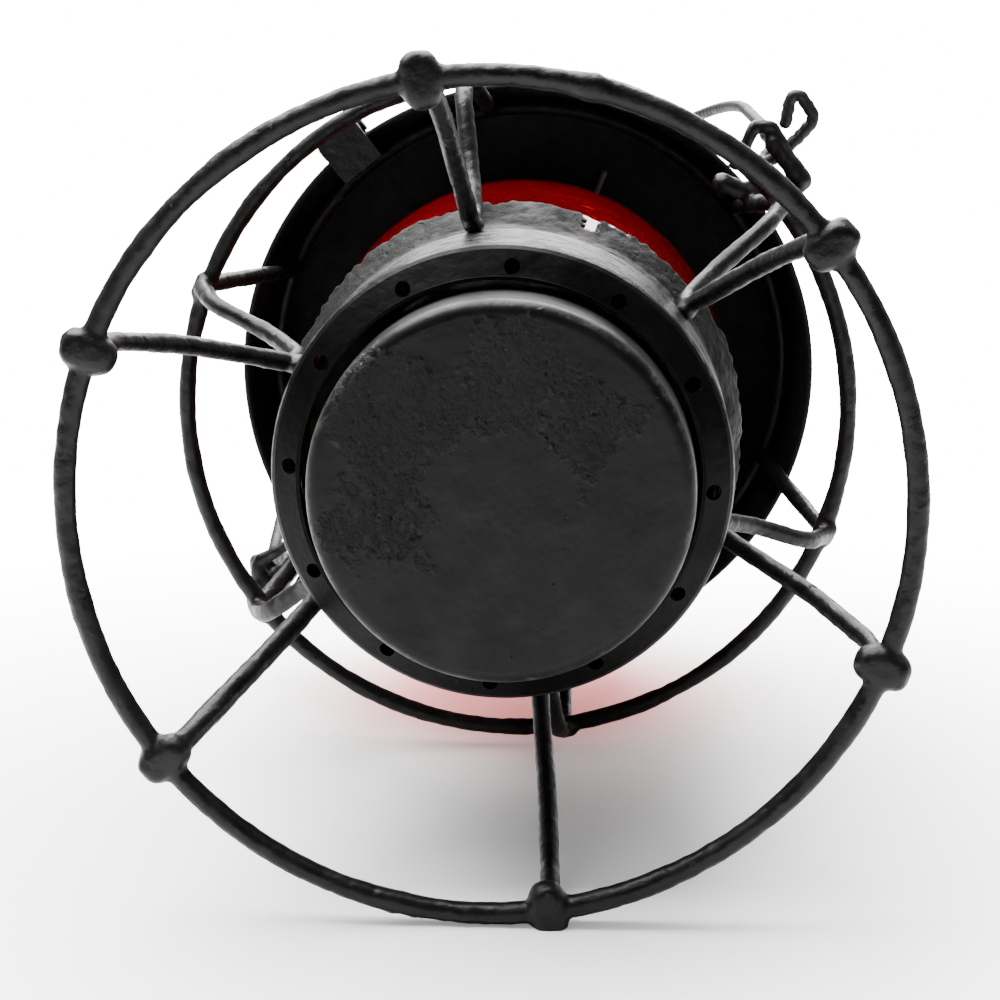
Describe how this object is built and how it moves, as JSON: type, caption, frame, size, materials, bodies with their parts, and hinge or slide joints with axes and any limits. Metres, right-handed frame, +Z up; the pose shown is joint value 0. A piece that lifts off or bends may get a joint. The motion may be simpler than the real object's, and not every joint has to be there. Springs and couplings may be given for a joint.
{
  "type": "lantern",
  "caption": "Wire-cage oil hand lantern with bent uprights, guard and foot rings, drop-in fount, red glass globe, hinged hood with vent and swinging bail",
  "frame": {"origin": "on the ground under the middle of the foot ring, lantern standing upright", "axes": "+Z up along the lantern's axis, +X to the bail ear beside the thin upright, -Y to the hood's hinge, +Y to its latch"},
  "size_m": [0.2111, 0.1768, 0.3501],
  "materials": {
    "cage_paint": "thick lumpy satin black paint over pitted wire",
    "collar_paint": "satin black paint with small pits",
    "gallery_rust": "rough black paint flaking off rusted sheet",
    "hood_paint": "satin black paint, sooty inside",
    "inner_steel": "dull tinned steel with soot",
    "bail_steel": "worn black paint over notched wire",
    "fount_paint": "black paint with pitted patches",
    "burner_brass": "dull tarnished brass",
    "red_glass": "clear red glass",
    "wick_cotton": "woven cotton"
  },
  "bodies": {
    "cage": {"foot_ring": "cage_paint", "foot_lugs": "cage_paint", "upright_right": "cage_paint", "upright_back_right": "cage_paint", "upright_back_left": "cage_paint", "upright_left": "cage_paint", "upright_front_left": "cage_paint", "upright_front_right": "cage_paint", "guard_ring": "cage_paint", "top_ring": "cage_paint", "base_flange": "collar_paint", "collar_band": "collar_paint", "globe_gallery": "gallery_rust", "globe_seat": "inner_steel", "seat_skirt": "inner_steel", "fount_clips": "inner_steel", "hinge_bracket": "cage_paint", "hinge_pin": "cage_paint", "latch_catch": "cage_paint", "ear_right": "cage_paint", "ear_left": "cage_paint", "globe": "red_glass"},
    "hood": {"hood_shell": "hood_paint", "hood_hem": "hood_paint", "vent_neck": "hood_paint", "smoke_cap": "hood_paint", "cap_feet": "hood_paint", "vent_baffle": "inner_steel", "hinge_leaf": "hood_paint", "latch_bracket": "hood_paint", "latch_pin": "hood_paint", "hood_rivets": "hood_paint", "globe_retainer": "inner_steel"},
    "latch": {"latch_lever": "hood_paint"},
    "bail": {"bail_wire": "bail_steel"},
    "fount": {"fount_shell": "fount_paint", "fount_top": "inner_steel", "filler_neck": "burner_brass", "burner_ring": "burner_brass", "burner_base": "burner_brass", "wick_tube": "burner_brass", "tube_bridge": "burner_brass", "burner_cone": "burner_brass"},
    "filler_cap": {"filler_cap": "burner_brass"},
    "raiser": {"raiser_shaft": "burner_brass", "wick_knob": "burner_brass"},
    "wick": {"wick": "wick_cotton"}
  },
  "joints": [
    {"name": "hood_hinge", "type": "hinge", "parent": "cage", "child": "hood", "pos_m": [0, -0.0822, 0.1882], "axis": [1, 0, 0], "range_deg": [0, 95]},
    {"name": "latch_hinge", "type": "hinge", "parent": "hood", "child": "latch", "pos_m": [-0.02767, 0.07602, 0.1986], "axis": [0.9397, 0.342, 0], "range_deg": [0, 18], "stiffness_Nm_per_rad": 0.05},
    {"name": "bail_hinge", "type": "hinge", "parent": "cage", "child": "bail", "pos_m": [0, -0.0025, 0.1756], "axis": [0.9995, -0.0327, 0], "range_deg": [-100, 86]},
    {"name": "fount_slide", "type": "slide", "parent": "cage", "child": "fount", "axis": [0, 0, -1], "range_m": [0, 0.085]},
    {"name": "cap_slide", "type": "slide", "parent": "fount", "child": "filler_cap", "axis": [0, 0, 1], "range_m": [0, 0.006]},
    {"name": "raiser_turn", "type": "hinge", "parent": "fount", "child": "raiser", "pos_m": [0.01167, 0.00546, 0.0718], "axis": [1, 0, 0], "range_deg": [-116, 78]},
    {"name": "wick_slide", "type": "slide", "parent": "fount", "child": "wick", "axis": [0, 0, 1], "range_m": [-0.004, 0.006]}
  ],
  "couplings": [
    {"joint": "raiser_turn", "follows": "wick_slide", "rad_per_m": -333.33}
  ]
}
